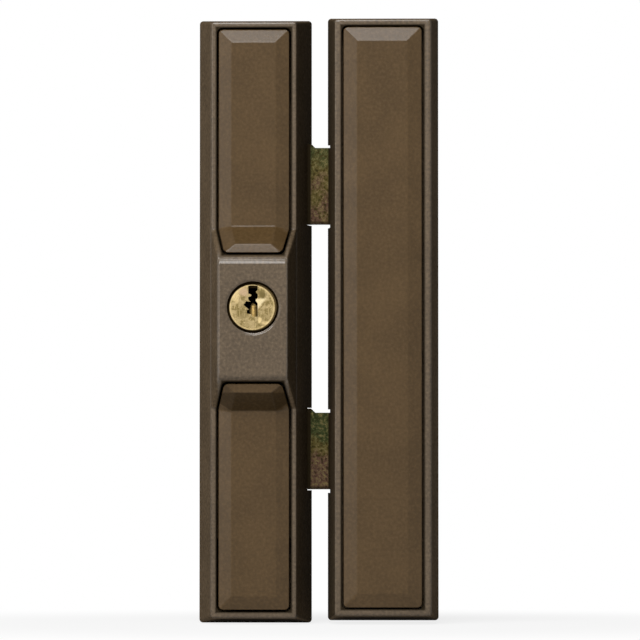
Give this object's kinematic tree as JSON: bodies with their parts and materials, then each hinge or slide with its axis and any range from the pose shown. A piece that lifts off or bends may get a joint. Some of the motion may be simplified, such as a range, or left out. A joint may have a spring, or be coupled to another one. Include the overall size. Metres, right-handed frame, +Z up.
{
  "type": "window lock",
  "caption": "Surface mounted window lock: a key operated case throws flat bolts into a matching strike box, with push in caps over the fixing screws.",
  "frame": {"origin": "centre of the lock case's mounting face, on the window's surface", "axes": "+X across, from the lock case to the strike box; +Y into the window; +Z up, along the case"},
  "size_m": [0.0813, 0.032, 0.2058],
  "materials": {
    "case_paint": "satin dark brown enamel on a zinc die casting",
    "cap_plastic": "satin dark brown moulded plastic",
    "brass": "turned brass, dulled",
    "yellow_chromate": "zinc plated steel, yellow chromated, mottled",
    "bright_steel": "bright steel"
  },
  "bodies": {
    "lock_case": {"lock_housing": "case_paint", "back_plate": "yellow_chromate", "back_plate_screws": "bright_steel", "cylinder_body": "brass", "chamber_strip": "brass", "driver_pins": "brass", "pin_springs": "bright_steel", "cylinder_retainer": "yellow_chromate", "retainer_screws": "bright_steel", "guide_studs": "bright_steel"},
    "lock_plug": {"key_plug": "brass", "key_pins": "brass", "plug_clip": "bright_steel", "drive_pinion": "bright_steel", "pinion_screw": "bright_steel"},
    "bolt_slide": {"slide_plate": "yellow_chromate", "rack_bar": "yellow_chromate", "rack_rivets": "bright_steel", "upper_bolt": "yellow_chromate", "lower_bolt": "yellow_chromate", "bolt_rivets": "bright_steel"},
    "cap_upper": {"upper_cover": "cap_plastic"},
    "cap_lower": {"lower_cover": "cap_plastic"},
    "strike_box": {"strike_housing": "case_paint", "strike_keeper": "yellow_chromate", "keeper_blocks": "yellow_chromate", "keeper_screws": "bright_steel"},
    "cap_strike": {"strike_cover": "cap_plastic"}
  },
  "joints": [
    {"name": "key_turn", "type": "hinge", "parent": "lock_case", "child": "lock_plug", "pos_m": [0, 0, 0.0036], "axis": [0, 1, 0], "range_deg": [0, 180]},
    {"name": "bolt_throw", "type": "slide", "parent": "lock_case", "child": "bolt_slide", "axis": [-1, 0, 0], "range_m": [0, 0.01414]},
    {"name": "upper_cap_off", "type": "slide", "parent": "lock_case", "child": "cap_upper", "axis": [0, -1, 0], "range_m": [0, 0.025]},
    {"name": "lower_cap_off", "type": "slide", "parent": "lock_case", "child": "cap_lower", "axis": [0, -1, 0], "range_m": [0, 0.025]},
    {"name": "strike_apart", "type": "slide", "parent": "lock_case", "child": "strike_box", "axis": [1, 0, 0], "range_m": [0, 0.03]},
    {"name": "strike_cap_off", "type": "slide", "parent": "strike_box", "child": "cap_strike", "axis": [0, -1, 0], "range_m": [0, 0.02]}
  ],
  "couplings": [
    {"joint": "key_turn", "follows": "bolt_throw", "rad_per_m": 222.22}
  ]
}
